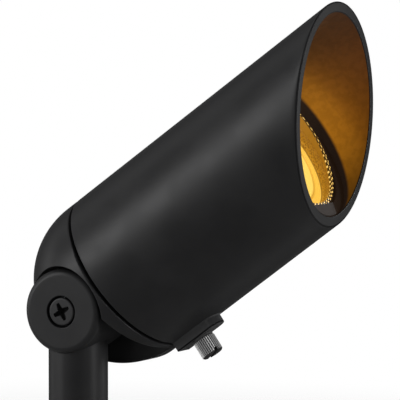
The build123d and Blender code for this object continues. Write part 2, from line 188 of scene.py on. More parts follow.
def rounded_section(corners, roundings, runs):
    """Rows of points along a section with rounded corners.

    Corner C with rounding d becomes the curve (1-t)^2 A + 2t(1-t) C + t^2 B, with A and B at the distance
    d before and after C, or at the two distances of a pair. A run between two corners gets extra rows at
    (1 - cos(pi s)) / 2 of its length, close together near its ends.

    corners has the shape (corner, column, 2), and a rounding may differ by column. A rounding of 0 keeps the
    corner as one row.
    """
    corners = np.asarray(corners, float)
    if corners.ndim == 2:
        corners = corners[:, None, :]
    columns = corners.shape[1]
    before = np.roll(corners, 1, axis=0) - corners
    after = np.roll(corners, -1, axis=0) - corners
    pairs = [rounding if isinstance(rounding, tuple) else (rounding, rounding) for rounding in roundings]
    reach = np.stack([[np.broadcast_to(part, columns) for part in pair] for pair in pairs])[..., None]
    start = corners + reach[:, 0] * before / np.linalg.norm(before, axis=2, keepdims=True)
    end = corners + reach[:, 1] * after / np.linalg.norm(after, axis=2, keepdims=True)
    t = np.linspace(0.0, 1.0, corner_steps)[:, None, None]
    rows = []
    for place, corner in enumerate(corners):
        curve = (1 - t) ** 2 * start[place] + 2 * t * (1 - t) * corner + t ** 2 * end[place]
        rows.append(curve if np.any(roundings[place]) else corner[None])
        s = np.linspace(0.0, 1.0, runs[place] + 2)[1:-1, None, None]
        share = (1 - np.cos(math.pi * s)) / 2
        rows.append(end[place] + share * (start[(place + 1) % len(corners)] - end[place]))
    return np.concatenate(rows)


def corner_row(roundings, runs, place):
    """First row of a corner in a rounded section."""
    return sum(corner_steps if np.any(rounding) else 1 for rounding in roundings[:place]) + sum(runs[:place])


def rows_up_to(rows, last):
    """Column of 1 for the rows before the last one given, and of 0 for the others."""
    return (np.arange(len(rows)) < last).astype(float)[:, None]


def angles_round(columns):
    """Angles of the columns round an axis, from 0 up to a full turn."""
    return np.linspace(0.0, full_turn, columns, endpoint=False)


def turned(section, columns):
    """Section rows (radius, height) carried round an axis: (r cos a, r sin a, h)."""
    angles = angles_round(columns)
    radius = section[..., 0] * np.ones(columns)
    height = section[..., 1] * np.ones(columns)
    return np.stack([radius * np.cos(angles), radius * np.sin(angles), height], axis=2)


def vertex_order(grid, loop):
    """Grid values in the order of the vertices: row by row, and without loop one for each pole at the end."""
    if loop:
        return grid.reshape(-1, *grid.shape[2:])
    inner = grid[1:-1].reshape(-1, *grid.shape[2:])
    return np.concatenate([inner, grid[0, :1], grid[-1, :1]])


def grid_faces(points, loop):
    """Vertices, faces and the row of each face, for a grid whose columns close on themselves.

    With loop the rows close too. Otherwise the first and last row, which lie on the axis, become poles.
    """
    vertices = vertex_order(points, loop)
    rows, columns = points.shape[:2]
    rings = rows if loop else rows - 2
    index = np.arange(rings * columns).reshape(rings, columns)
    if loop:
        index = np.vstack([index, index[:1]])
    right = np.roll(index, -1, axis=1)
    faces = np.stack([index[:-1], right[:-1], right[1:], index[1:]], axis=2).reshape(-1, 4).tolist()
    row_of = np.repeat(np.arange(len(index) - 1), columns)
    if not loop:
        first_pole = np.full(columns, len(vertices) - 2)
        last_pole = np.full(columns, len(vertices) - 1)
        faces += np.stack([first_pole, right[0], index[0]], axis=1).tolist()
        faces += np.stack([index[-1], right[-1], last_pole], axis=1).tolist()
        row_of = np.concatenate([row_of + 1, np.zeros(columns, int), np.full(columns, rings)])
    return vertices, faces, row_of


def volume_sign(vertices, faces):
    """Sign of the volume within the faces: the sum of a . (b x c) over their first three corners."""
    corners = vertices[np.array([face[:3] for face in faces])]
    return np.sign(np.einsum("ij,ij->i", corners[:, 0], np.cross(corners[:, 1], corners[:, 2])).sum())


def new_object(name, data):
    """Object with its data, put in the scene."""
    made = bpy.data.objects.new(name, data)
    bpy.context.scene.collection.objects.link(made)
    return made


def make_piece(name, points, body, finishes, finish_rows=None, marks=None, loop=False,
               origin=gap_centre, axes=head_axes):
    """Closed piece from a grid of points along the axes from the origin, on a body and with its finishes.

    finish_rows gives each row's finish as an index into finishes, and marks is an attribute as (name, grid).
    """
    vertices, faces, row_of = grid_faces(origin + points @ axes, loop)
    centre = vertices.mean(axis=0)
    if volume_sign(vertices - centre, faces) < 0:
        faces = [face[::-1] for face in faces]
    mesh = bpy.data.meshes.new(name)
    mesh.from_pydata(vertices.tolist(), [], faces)
    for finish in finishes:
        mesh.materials.append(finish)
    if finish_rows is not None:
        mesh.polygons.foreach_set("material_index", np.asarray(finish_rows, np.int32)[row_of])
    if marks is not None:
        label, grid = marks
        layer = mesh.attributes.new(label, "FLOAT", "POINT")
        layer.data.foreach_set("value", vertex_order(grid, loop).astype(np.float32))
    mesh.shade_smooth()
    mesh.set_sharp_from_angle(angle=sharp_angle)
    mesh.update()
    piece = new_object(name, mesh)
    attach(piece, body)
    return piece


# Shader building blocks, with the places of a Mix node's colour sockets and the kinds of a group's sockets
mix_first, mix_second, mix_result = 6, 7, 2
number_kind = "NodeSocketFloat"
vector_kind = "NodeSocketVector"


def add(tree, kind, inputs=None, **settings):
    """New node of a tree: settings are its properties, inputs its sockets as values or as outputs to link."""
    node = tree.nodes.new(kind)
    for label, value in settings.items():
        setattr(node, label, value)
    for label, value in (inputs or {}).items():
        if isinstance(value, bpy.types.NodeSocket):
            tree.links.new(value, node.inputs[label])
        else:
            node.inputs[label].default_value = value
    return node


def link(tree, sockets, **outputs):
    """Links of outputs to sockets by name."""
    for label, output in outputs.items():
        tree.links.new(output, sockets[label.replace("_", " ")])


def calc(tree, operation, first, second=0.0, clamp=False):
    """Result of a Math node on two values or sockets."""
    return add(tree, "ShaderNodeMath", {0: first, 1: second}, operation=operation, use_clamp=clamp).outputs[0]


def spread(tree, value, from_low=0.0, from_high=1.0, to_low=0.0, to_high=1.0, way="SMOOTHSTEP"):
    """Value moved from one range to another and clamped to it, with a smooth start and end by default."""
    ranges = {"From Min": from_low, "From Max": from_high, "To Min": to_low, "To Max": to_high}
    node = add(tree, "ShaderNodeMapRange", {"Value": value, **ranges}, interpolation_type=way)
    return node.outputs["Result"]


def noise(tree, vector, scale, detail=2.0):
    """Noise of a number of cells to the metre, about 0.5."""
    inputs = {"Vector": vector, "Scale": scale, "Detail": detail}
    return add(tree, "ShaderNodeTexNoise", inputs).outputs["Fac"]


def marked(tree, name):
    """Attribute of a piece by its name."""
    return add(tree, "ShaderNodeAttribute", attribute_name=name).outputs["Fac"]


def blend_colours(tree, share, first, second):
    """Mix of two colours by a share."""
    node = add(tree, "ShaderNodeMix", {"Factor": share}, data_type="RGBA")
    for place, value in ((mix_first, first), (mix_second, second)):
        if isinstance(value, bpy.types.NodeSocket):
            tree.links.new(value, node.inputs[place])
        else:
            node.inputs[place].default_value = (*value, 1.0)
    return node.outputs[mix_result]


def ramp(tree, value, stops):
    """Colour ramp through stops of (place, colour)."""
    between_ends = 0.5
    node = add(tree, "ShaderNodeValToRGB", {"Fac": value})
    elements = node.color_ramp.elements
    while len(elements) < len(stops):
        elements.new(between_ends)
    for element, (place, colour) in zip(elements, stops):
        element.position = place
        element.color = (*colour, 1.0)
    return node.outputs["Color"]


def new_group(name, inputs, outputs):
    """Empty shader node group with named sockets; inputs give their kind and default, outputs their kind."""
    tree = bpy.data.node_groups.new(name, "ShaderNodeTree")
    for label, kind, value in inputs:
        tree.interface.new_socket(label, in_out="INPUT", socket_type=kind).default_value = value
    for label, kind in outputs:
        tree.interface.new_socket(label, in_out="OUTPUT", socket_type=kind)
    return tree, tree.nodes.new("NodeGroupInput").outputs, tree.nodes.new("NodeGroupOutput").inputs


def object_place(tree):
    """Object coordinates, which are the solids' own frame."""
    return add(tree, "ShaderNodeTexCoord").outputs["Object"]


# Scales of the finishes, as cells to the metre, and their depths
coat_cells = 1500.0
coat_mottles = 60.0
coat_bump = 0.05 * mm
edge_radius = 0.3 * mm
metal_stretch = (300.0, 300.0, 6000.0)
metal_pits = 900.0
metal_bump = 0.02 * mm


def make_coat_grain():
    """Fine orange peel of a sprayed coat: two sizes of noise as height, and slow mottling as shade."""
    coarse_share = 0.3
    inputs = [("Grain", number_kind, coat_cells), ("Mottling", number_kind, coat_mottles)]
    outputs = [("Height", number_kind), ("Shade", number_kind)]
    tree, given, result = new_group("coat_grain", inputs, outputs)
    place = object_place(tree)
    fine = noise(tree, place, given["Grain"], detail=1.0)
    coarse = noise(tree, place, calc(tree, "MULTIPLY", given["Grain"], coarse_share), detail=1.0)
    slow = noise(tree, place, given["Mottling"], detail=3.0)
    shade = spread(tree, slow, from_low=0.35, from_high=0.65)
    link(tree, result, Height=calc(tree, "ADD", fine, coarse), Shade=shade)
    return tree


def make_polar(name, origin, axes):
    """Place round an axis: the distance from it, the distance along it, in metres, and the angle round it."""
    tree, _, result = new_group(name, [], [(label, number_kind) for label in ("Radius", "Along", "Turn")])
    turn = Matrix(axes.T.tolist()).to_euler()
    settings = {"Vector": object_place(tree), "Location": origin.tolist(), "Rotation": turn}
    local = add(tree, "ShaderNodeMapping", settings, vector_type="TEXTURE").outputs["Vector"]
    parts = add(tree, "ShaderNodeSeparateXYZ", {"Vector": local}).outputs
    squares = calc(tree, "ADD", calc(tree, "POWER", parts["X"], 2.0), calc(tree, "POWER", parts["Y"], 2.0))
    angle = calc(tree, "ARCTAN2", parts["Y"], parts["X"])
    link(tree, result, Radius=calc(tree, "SQRT", squares), Along=parts["Z"], Turn=angle)
    return tree


def make_tool_marks():
    """Fine marks of turned or rolled metal: noise stretched by the given vector, and small pits."""
    pit_share = 0.5
    outputs = [("Height", number_kind), ("Roughness", number_kind)]
    tree, given, result = new_group("tool_marks", [("Stretch", vector_kind, metal_stretch)], outputs)
    place = object_place(tree)
    scaled = add(tree, "ShaderNodeVectorMath", {0: place, 1: given["Stretch"]}, operation="MULTIPLY")
    lines = noise(tree, scaled.outputs["Vector"], 1.0, detail=3.0)
    pits = noise(tree, place, metal_pits)
    line_part = calc(tree, "MULTIPLY", lines, 1 - pit_share)
    worn = calc(tree, "ADD", line_part, calc(tree, "MULTIPLY", pits, pit_share))
    link(tree, result, Height=lines, Roughness=spread(tree, worn, from_low=0.3, from_high=0.7))
    return tree


def make_edge_wear_and_highlight():
    """Rounded edges: the normal turned as by a small bevel, and a mask of where it leaves the face's own."""
    outputs = [("Edge", number_kind), ("Normal", vector_kind)]
    tree, given, result = new_group("edge_wear_and_highlight", [("Radius", number_kind, edge_radius)], outputs)
    bevel = add(tree, "ShaderNodeBevel", {"Radius": given["Radius"]}, samples=6).outputs["Normal"]
    flat = add(tree, "ShaderNodeNewGeometry").outputs["True Normal"]
    product = add(tree, "ShaderNodeVectorMath", {0: bevel, 1: flat}, operation="DOT_PRODUCT")
    # This edge mask paints edges paler in the coats, as wear and as painted highlight.
    edge = spread(tree, product.outputs["Value"], from_low=0.98, from_high=0.85)
    link(tree, result, Edge=edge, Normal=bevel)
    return tree


coat_grain = make_coat_grain()
edge_wear_and_highlight = make_edge_wear_and_highlight()
head_polar = make_polar("head_polar", gap_centre, head_axes)
thumb_polar = make_polar("thumb_polar", thumb_point, thumb_axes)
tool_marks = make_tool_marks()


def place_group(tree, group, **values):
    """Node group placed in a material with its own values."""
    node = add(tree, "ShaderNodeGroup", node_tree=group)
    for label, value in values.items():
        node.inputs[label].default_value = value
    return node.outputs


def new_finish(name, **constants):
    """Material, its tree and the sockets of its Principled shader, whose constants are set by name."""
    material = bpy.data.materials.new(name)
    material.use_nodes = True
    tree = material.node_tree
    sockets = tree.nodes["Principled BSDF"].inputs
    for label, value in constants.items():
        sockets[label.replace("_", " ")].default_value = value
    return material, tree, sockets


def bumped(tree, height, strength, distance, normal=None):
    """Normal of a bump from a height, over another normal where one is given."""
    inputs = {"Height": height, "Strength": strength, "Distance": distance}
    if normal is not None:
        inputs["Normal"] = normal
    return add(tree, "ShaderNodeBump", inputs).outputs["Normal"]


def dulled(tree, roughness):
    """Roughness of a matting coat, which loses its gloss where it is seen edge on."""
    facing_share = add(tree, "ShaderNodeLayerWeight", {"Blend": 0.5}).outputs["Facing"]
    matting = spread(tree, facing_share, from_low=0.4, from_high=0.8, to_high=0.56)
    return calc(tree, "ADD", roughness, matting, clamp=True)


def coated(name, dark, light, smooth, rough, specular, grain=coat_cells, strength=0.1,
           edge=None, recess=None, glow=None):
    """Sprayed coat: two shades, mottled, with its grain as bump and its roughness between two values.

    edge is the radius to which the coat rounds sharp edges, where it also turns paler, as wear and as painted
    highlight.
    recess names an attribute that is 1 in sunk places, which get painted shade, darker and dull. glow is the
    colour of painted light that it gives off.
    """
    edge_wear_and_highlight_grey = (0.02, 0.02, 0.021)
    recess_shade_black = (0.001, 0.001, 0.001)
    material, tree, sockets = new_finish(name, Specular_IOR_Level=specular)
    if glow:
        sockets["Emission Color"].default_value = (*glow, 1.0)
        sockets["Emission Strength"].default_value = 1.0
    coat = place_group(tree, coat_grain, Grain=grain)
    colour = blend_colours(tree, coat["Shade"], dark, light)
    roughness = dulled(tree, spread(tree, coat["Shade"], to_low=smooth, to_high=rough))
    normal = None
    if edge:
        wear_and_highlight = place_group(tree, edge_wear_and_highlight, Radius=edge)
        normal = wear_and_highlight["Normal"]
        # Paler edges: wear, and painted highlight.
        worn = calc(tree, "MULTIPLY", wear_and_highlight["Edge"], coat["Shade"])
        colour = blend_colours(tree, worn, colour, edge_wear_and_highlight_grey)
    if recess:
        # Painted shade in sunk places: darker and dull.
        sunk = marked(tree, recess)
        colour = blend_colours(tree, sunk, colour, recess_shade_black)
        roughness = calc(tree, "MAXIMUM", roughness, sunk)
    bump = bumped(tree, coat["Height"], strength, coat_bump, normal)
    link(tree, sockets, Base_Color=colour, Roughness=roughness, Normal=bump)
    return material


def metal(name, dark, light, smooth, rough, stretch, strength=0.1):
    """Bare or plated metal with tool marks in its colour, roughness and bump."""
    material, tree, sockets = new_finish(name, Metallic=1.0)
    marks = place_group(tree, tool_marks, Stretch=stretch)
    colour = blend_colours(tree, marks["Roughness"], dark, light)
    roughness = spread(tree, marks["Roughness"], to_low=smooth, to_high=rough)
    bump = bumped(tree, marks["Height"], strength, metal_bump)
    link(tree, sockets, Base_Color=colour, Roughness=roughness, Normal=bump)
    return material


def knurl_groove_shade():
    """Plated screw with tool marks: light on its ridges and shank, with painted shade, dark and dull, in its
    grooves, and dark and dull at its end.
    """
    groove_shade_black = (0.015, 0.015, 0.015)
    ridge_grey = (0.26, 0.26, 0.26)
    ridge_land = 0.05 * mm
    end_start, end_stop = 0.5 * mm, 0.25 * mm
    shank_start, shank_stop = 0.15 * mm, 0.1 * mm
    material, tree, sockets = new_finish("knurl_groove_shade", Specular_IOR_Level=0.0)
    marks = place_group(tree, tool_marks, Stretch=(1500.0, 1500.0, 1500.0))
    place = place_group(tree, thumb_polar)
    ridge = spread(tree, place["Radius"], thumb_radius - thumb_knurl_depth, thumb_radius - ridge_land)
    falling = {"to_low": 1.0, "to_high": 0.0}
    end = spread(tree, place["Along"], thumb_tip - end_start, thumb_tip - end_stop, **falling)
    shank = spread(tree, place["Along"], washer_face - shank_start, washer_face - shank_stop, **falling)
    ridge = calc(tree, "MAXIMUM", calc(tree, "MULTIPLY", ridge, end), shank)
    worn = spread(tree, marks["Roughness"], to_high=0.1)
    roughness = calc(tree, "ADD", worn, spread(tree, ridge, to_low=0.8, to_high=0.3))
    # Painted shade: black in the grooves, where the ridge mask is 0.
    colour = blend_colours(tree, ridge, groove_shade_black, ridge_grey)
    bump = bumped(tree, marks["Height"], strength=0.1, distance=metal_bump)
    link(tree, sockets, Metallic=ridge, Base_Color=colour, Roughness=roughness, Normal=bump)
    return material


def lit_inner_coat():
    """Inside of the shroud: dark coat with the lamp's warm spill painted on as its own glow.

    The painted spill starts past the lens ring's leaning shadow, which is painted as a dimmer glow, and fades
    towards the mouth. Round the tube it is strongest to the sides.
    """
    dark, light = (0.012, 0.007, 0.003), (0.016, 0.009, 0.004)
    shadow_glow = (0.0105, 0.0062, 0.0045)
    spill_stops = [
        (0.1, (0.315, 0.115, 0.006)),
        (0.23, (0.265, 0.094, 0.005)),
        (0.33, (0.17, 0.056, 0.003)),
        (0.45, (0.11, 0.034, 0.002)),
        (0.6, (0.082, 0.024, 0.002)),
        (1.0, (0.045, 0.01, 0.001)),
    ]
    low_from, low_to = math.radians(35.0), math.radians(100.0)
    high_from, high_to = math.radians(110.0), math.radians(165.0)
    material, tree, sockets = new_finish("lit_inner_coat", Specular_IOR_Level=0.05, Emission_Strength=1.0)
    coat = place_group(tree, coat_grain, Grain=1100.0, Mottling=420.0)
    place = place_group(tree, head_polar)
    turn = calc(tree, "ABSOLUTE", place["Turn"])
    below = calc(tree, "MULTIPLY", calc(tree, "COSINE", turn), shadow_lean * tube_inner)
    edge = calc(tree, "ADD", place["Along"], below)
    out = spread(tree, edge, shadow_edge - shadow_softness, shadow_edge + shadow_softness)
    mouth_end = mouth_reach + tube_radius * mouth_slope
    reach = spread(tree, place["Along"], ring_front, mouth_end, way="LINEAR")
    low_side = spread(tree, turn, low_from, low_to, to_low=0.25)
    high_side = spread(tree, turn, high_from, high_to, to_low=1.0, to_high=0.48)
    grain = spread(tree, coat["Shade"], to_low=0.92, to_high=1.06)
    level = calc(tree, "MULTIPLY", calc(tree, "MULTIPLY", low_side, high_side), grain)
    spill_colour = ramp(tree, reach, spill_stops)
    spill = add(tree, "ShaderNodeVectorMath", {0: spill_colour, 1: level}, operation="MULTIPLY")
    glow = blend_colours(tree, out, shadow_glow, spill.outputs["Vector"])
    colour = blend_colours(tree, coat["Shade"], dark, light)
    roughness = dulled(tree, spread(tree, coat["Shade"], to_low=0.6, to_high=0.7))
    bump = bumped(tree, coat["Height"], strength=0.12, distance=coat_bump)
    link(tree, sockets, Emission_Color=glow, Base_Color=colour, Roughness=roughness, Normal=bump)
    return material


def clear_lens_glass():
    """Clear pressed glass with a faint handling haze."""
    haze_cells = 120.0
    constants = {"Base_Color": (1.0, 0.98, 0.94, 1.0), "Transmission_Weight": 1.0, "IOR": 1.06}
    material, tree, sockets = new_finish("clear_lens_glass", **constants)
    haze = noise(tree, object_place(tree), haze_cells, detail=3.0)
    link(tree, sockets, Roughness=spread(tree, haze, from_low=0.45, from_high=0.75, to_high=0.05))
    return material


def lit_lens_edge():
    """Pebbled edge of the lens, with the lamp's amber light painted on as glow, brighter towards the lamp and
    in painted glints on its pebbles.
    """
    between_pebbles = (0.13, 0.048, 0.002)
    glow_stops = [(0.0, (0.42, 0.2, 0.012)), (0.5, (0.33, 0.142, 0.007)), (1.0, (0.27, 0.108, 0.005))]
    cell_scale = 1400.0
    pebble_part, cell_part = 0.5, 0.9
    constants = {"Base_Color": (0.12, 0.06, 0.01, 1.0), "Roughness": 0.35, "Emission_Strength": 1.0}
    material, tree, sockets = new_finish("lit_lens_edge", **constants)
    place = place_group(tree, head_polar)
    depth = spread(tree, place["Along"], optic_front, lens_front)
    cells = add(tree, "ShaderNodeTexVoronoi", {"Vector": object_place(tree), "Scale": cell_scale})
    cell = calc(tree, "MULTIPLY", cells.outputs["Distance"], cell_part)
    pebble = calc(tree, "MULTIPLY", marked(tree, "pebble"), pebble_part)
    speckle = calc(tree, "ADD", pebble, cell)
    share = spread(tree, speckle, from_low=0.3, from_high=0.8)
    glow = blend_colours(tree, share, between_pebbles, ramp(tree, depth, glow_stops))
    link(tree, sockets, Emission_Color=glow)
    return material


def lit_cut_rim():
    """Cut facets round the lens: glints of the lamp's light painted in glow and colour where a facet faces
    out, dark brown between.
    """
    glow_stops = [(0.2, (0.015, 0.007, 0.002)), (0.42, (0.27, 0.108, 0.005)), (0.7, (0.95, 0.62, 0.16))]
    colour_stops = [(0.0, (0.02, 0.012, 0.006)), (1.0, (0.2, 0.12, 0.03))]
    constants = {"Roughness": 0.25, "Emission_Strength": 1.0, "Specular_IOR_Level": 0.3}
    material, tree, sockets = new_finish("lit_cut_rim", **constants)
    facet = marked(tree, "facet")
    glow = ramp(tree, facet, glow_stops)
    link(tree, sockets, Emission_Color=glow, Base_Color=ramp(tree, facet, colour_stops))
    return material


def lit_lamp_face():
    """Front of the lit lamp: warm yellow, with rings of brighter and darker steps."""
    streak_cells, streak_turns, streak_shift = 900.0, 2.0, 0.015
    core = lamp_core_radius / optic_radius
    stops = [
        (0.0, (1.0, 0.8, 0.26)),
        (0.62 * core, (1.0, 0.72, 0.15)),
        (0.8 * core, (1.0, 0.7, 0.14)),
        (0.84 * core, (0.62, 0.3, 0.025)),
        (0.87 * core, (0.95, 0.56, 0.075)),
        (0.965 * core, (0.95, 0.54, 0.07)),
        (0.99 * core, (0.97, 0.6, 0.1)),
        (1.01 * core, (0.3, 0.13, 0.008)),
    ]
    constants = {"Base_Color": (0.08, 0.05, 0.01, 1.0), "Roughness": 0.3, "Emission_Strength": 1.0}
    material, tree, sockets = new_finish("lit_lamp_face", **constants)
    place = place_group(tree, head_polar)
    share = calc(tree, "DIVIDE", place["Radius"], optic_radius)
    outward = calc(tree, "MULTIPLY", place["Radius"], streak_cells)
    round_axis = calc(tree, "MULTIPLY", place["Turn"], streak_turns)
    streak_place = add(tree, "ShaderNodeCombineXYZ", {"X": outward, "Y": round_axis}).outputs["Vector"]
    streak = calc(tree, "SUBTRACT", noise(tree, streak_place, 1.0), 0.5)
    shifted = calc(tree, "ADD", share, calc(tree, "MULTIPLY", streak, streak_shift))
    link(tree, sockets, Emission_Color=ramp(tree, shifted, stops))
    return material


def lit_board():
    """White board with its warm emitter in the middle, and a faint painted spill of its light over the rest.
    """
    emitter_radius, emitter_edge = 3.4 * mm, 3.8 * mm
    emitter_glow, board_spill_glow = (1.0, 0.75, 0.3), (0.05, 0.03, 0.01)
    dark, light = (0.75, 0.7, 0.58), (0.85, 0.8, 0.68)
    speckle_cells = 700.0
    material, tree, sockets = new_finish("lit_board", Roughness=0.5, Emission_Strength=1.0)
    place = place_group(tree, head_polar)
    share = spread(tree, place["Radius"], emitter_radius, emitter_edge)
    glow = blend_colours(tree, share, emitter_glow, board_spill_glow)
    colour = blend_colours(tree, noise(tree, object_place(tree), speckle_cells), dark, light)
    link(tree, sockets, Emission_Color=glow, Base_Color=colour)
    return material


# Finishes
coat_shades = {"dark": (0.0046, 0.0046, 0.0048), "light": (0.006, 0.006, 0.0062)}
satin = {"smooth": 0.37, "rough": 0.43}
satin_black = coated("satin_black", **coat_shades, **satin, specular=0.066)
cast_black = coated("cast_black", **coat_shades, **satin, specular=0.066, edge=0.35 * mm)
# Painted shade: a darker, duller coat that draws dark lines on the mouth's outer rounding and the tongue's
# chamfer.
painted_shade_black = coated("painted_shade_black", dark=(0.003, 0.003, 0.0032), light=(0.004, 0.004, 0.0042),
                     smooth=0.6, rough=0.7, specular=0.03)
# Painted light: the tongue's coat is lighter and glossier than the shroud's, for the light on its walls.
tongue_painted_light = coated("tongue_painted_light", dark=(0.012, 0.012, 0.0124), light=(0.017, 0.017, 0.0174),
                      **satin, specular=0.12, edge=edge_radius)
mouth_face = coated("mouth_face", **coat_shades, smooth=0.5, rough=0.56, specular=0.08)
screw_black = coated("screw_black", dark=(0.006, 0.006, 0.0063), light=(0.009, 0.009, 0.0094),
                     smooth=0.38, rough=0.46, specular=0.08, grain=2600.0, strength=0.06, recess="recess")
# The lens ring's warm glow is painted spill from the lamp.
ring_black = coated("ring_black", dark=(0.0055, 0.004, 0.003), light=(0.0075, 0.0055, 0.004),
                    smooth=0.6, rough=0.7, specular=0.02, grain=1800.0, glow=(0.0095, 0.0045, 0.0022))
ring_patch_grey = coated("ring_patch_grey", dark=(0.015, 0.012, 0.0105), light=(0.02, 0.016, 0.014),
                  smooth=0.55, rough=0.65, specular=0.1, grain=1800.0)
rubber_black = coated("rubber_black", dark=(0.01, 0.01, 0.01), light=(0.016, 0.016, 0.016),
                      smooth=0.66, rough=0.78, specular=0.25, grain=900.0, strength=0.2)
silicone_grey = coated("silicone_grey", dark=(0.02, 0.017, 0.014), light=(0.03, 0.025, 0.02),
                       smooth=0.45, rough=0.55, specular=0.3, grain=700.0)
lead_sleeve = coated("lead_sleeve", dark=(0.02, 0.02, 0.021), light=(0.035, 0.035, 0.036),
                     smooth=0.5, rough=0.62, specular=0.3, grain=1300.0, strength=0.3)
steatite = coated("steatite", dark=(0.62, 0.58, 0.5), light=(0.72, 0.68, 0.6),
                  smooth=0.5, rough=0.6, specular=0.4, grain=1200.0, strength=0.15)
nickel_plate = metal("nickel_plate", dark=(0.5, 0.49, 0.47), light=(0.62, 0.61, 0.59),
                     smooth=0.22, rough=0.34, stretch=(2500.0, 2500.0, 2500.0))
zinc_plate = metal("zinc_plate", dark=(0.48, 0.5, 0.52), light=(0.6, 0.62, 0.64),
                   smooth=0.3, rough=0.45, stretch=(400.0, 3000.0, 400.0), strength=0.15)
turned_brass = metal("turned_brass", dark=(0.6, 0.42, 0.17), light=(0.72, 0.53, 0.24),
                     smooth=0.24, rough=0.36, stretch=(300.0, 300.0, 5000.0), strength=0.15)
bright_reflector = metal("bright_reflector", dark=(0.75, 0.6, 0.32), light=(0.85, 0.72, 0.45),
                         smooth=0.08, rough=0.16, stretch=(500.0, 500.0, 500.0))
knurled_nickel = knurl_groove_shade()
inner_coat = lit_inner_coat()
lens_clear = clear_lens_glass()
lens_edge = lit_lens_edge()
cut_rim = lit_cut_rim()
lamp_face = lit_lamp_face()
board_white = lit_board()


def make_shroud():
    """Tube of the shroud: a rounded section carried round the tube's axis, cut by the mouth's plane.

    At the angle a and radius r, the mouth lies at z = reach - slope r cos a, with a counted from the
    underside, and its face rises a little towards the inside. Its edges are rounded by the radius p,
    which takes p / tan(b / 2) of each side where the wall's corner has the angle b. On the near side the
    mouth bulges by the square of -sin a, and its outer edge is rounded further down the tube.
    """
    angles = angles_round(fine_columns)
    lean = mouth_slope * np.cos(angles)
    near_side = np.maximum(-np.sin(angles), 0.0) ** 2
    mouth = mouth_reach + mouth_bulge * near_side
    corners = section_corners([
        (tube_inner, tube_rear),
        (tube_radius, tube_rear),
        (tube_radius, mouth - tube_radius * lean),
        (tube_inner, mouth + mouth_crown - tube_inner * lean),
        (tube_inner, ledge_front),
        (ledge_radius, ledge_front),
        (ledge_radius, ledge_back),
        (tube_inner, ledge_back),
    ], fine_columns)
    rounding = mouth_tip_round + (mouth_outer_round - mouth_tip_round) * (1 + np.cos(angles)) / 2
    outer_round = rounding / np.tan(math.pi / 4 + np.arctan(lean) / 2)
    outer_pair = (outer_round + mouth_near_round * near_side, mouth_face_share * outer_round)
    inner_round = mouth_inner_round / np.tan(math.pi / 4 - np.arctan(lean) / 2)
    roundings = [fine_round, rear_round, outer_pair, inner_round] + 4 * [fine_round]
    runs = [3, 28, 4, 18, 3, 3, 3, 12]
    rows = rounded_section(corners, roundings, runs)
    outer_edge, inner_edge, ledge_edge = (corner_row(roundings, runs, place) for place in (2, 3, 5))
    inner_start = inner_edge + corner_steps
    face_start = outer_edge + corner_steps
    half_corner = corner_steps // 2
    coat, lining, shaded_rounding, face = range(4)
    finish = np.full(len(rows), coat)
    finish[inner_start:ledge_edge + corner_steps] = lining
    # Painted shade on the mouth's outer rounding.
    finish[outer_edge + half_corner:face_start] = shaded_rounding
    finish[face_start:inner_start - half_corner] = face
    points = turned(rows, fine_columns)
    finishes = [satin_black, inner_coat, painted_shade_black, mouth_face]
    shell = make_piece("shroud_tube", points, "shroud", finishes, finish, loop=True)
    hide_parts("shroud")


def make_tongue():
    """Tongue under the shroud for the thumbscrew: a section carried round its outline, its foot on the tube.

    Seen from the thumbscrew's axis at the angle a, the outline lies at the nearest of w / |sin a| (the
    sides), d / -cos a (the rear, at the distance d) and c cos a + sqrt(w^2 - c^2 sin^2 a) (the round
    front, whose centre lies at c). The tube's surface lies at sqrt(R^2 - y^2) from its axis, at the
    distance y to the side.
    """
    sunk = 1.0 * mm
    tiny = 0.01 * mm
    rear_flare = 0.01
    nearly_zero = 1e-9
    hole_foot_round, hole_round = 0.1 * mm, 0.2 * mm
    fillet_share = 0.9
    rear = thumb_place - tube_rear
    corner_angle = math.atan2(tongue_half_width, -rear)
    even = angles_round(plain_columns)
    angles = np.sort(np.concatenate([even, [corner_angle, full_turn - corner_angle]]))
    round_place = tongue_front - tongue_half_width - thumb_place

    def outline(offset):
        """Distance of the tongue's outline from the thumbscrew's axis, set out by an offset."""
        width = tongue_half_width + offset
        sides = width / np.maximum(np.abs(np.sin(angles)), nearly_zero)
        back = (rear + offset * rear_flare) / np.maximum(-np.cos(angles), nearly_zero)
        straight = np.minimum(sides, back)
        inside = np.maximum(width ** 2 - (round_place * np.sin(angles)) ** 2, 0.0)
        front = round_place * np.cos(angles) + np.sqrt(inside)
        past = straight * np.cos(angles) > round_place
        return np.where(past, front, straight)

    def tube_height(radius):
        """Height of the tube's surface at a distance from the thumbscrew's axis."""
        return np.sqrt(tube_radius ** 2 - (radius * np.sin(angles)) ** 2)

    side_radius = outline(0.0)
    foot_radius = outline(tongue_fillet)
    corners = section_corners([
        (thumb_hole, tube_height(thumb_hole) - sunk),
        (thumb_hole, tongue_face),
        (side_radius, tongue_face),
        (side_radius, tube_height(side_radius)),
        (foot_radius, tube_height(foot_radius) - tiny),
        (foot_radius, tube_height(foot_radius) - sunk),
    ], len(angles))
    foot_round = np.minimum(fillet_share * (foot_radius - side_radius), tongue_fillet)
    roundings = [hole_foot_round, hole_round, tongue_chamfer, foot_round, tiny, tiny]
    runs = [3, 6, 4, 1, 1, 2]
    rows = rounded_section(corners, roundings, runs)
    points = np.stack([rows[..., 0] * np.sin(angles), rows[..., 0] * np.cos(angles), rows[..., 1]], axis=2)
    face_edge = corner_row(roundings, runs, 2)
    finish = np.zeros(len(rows), int)
    # Painted shade on the chamfer between the tongue's face and walls: a dark line.
    finish[face_edge:face_edge + corner_steps] = 1
    make_piece("shroud_tongue", points, "shroud", [tongue_painted_light, painted_shade_black], finish,
               loop=True, origin=thumb_point, axes=thumb_axes)


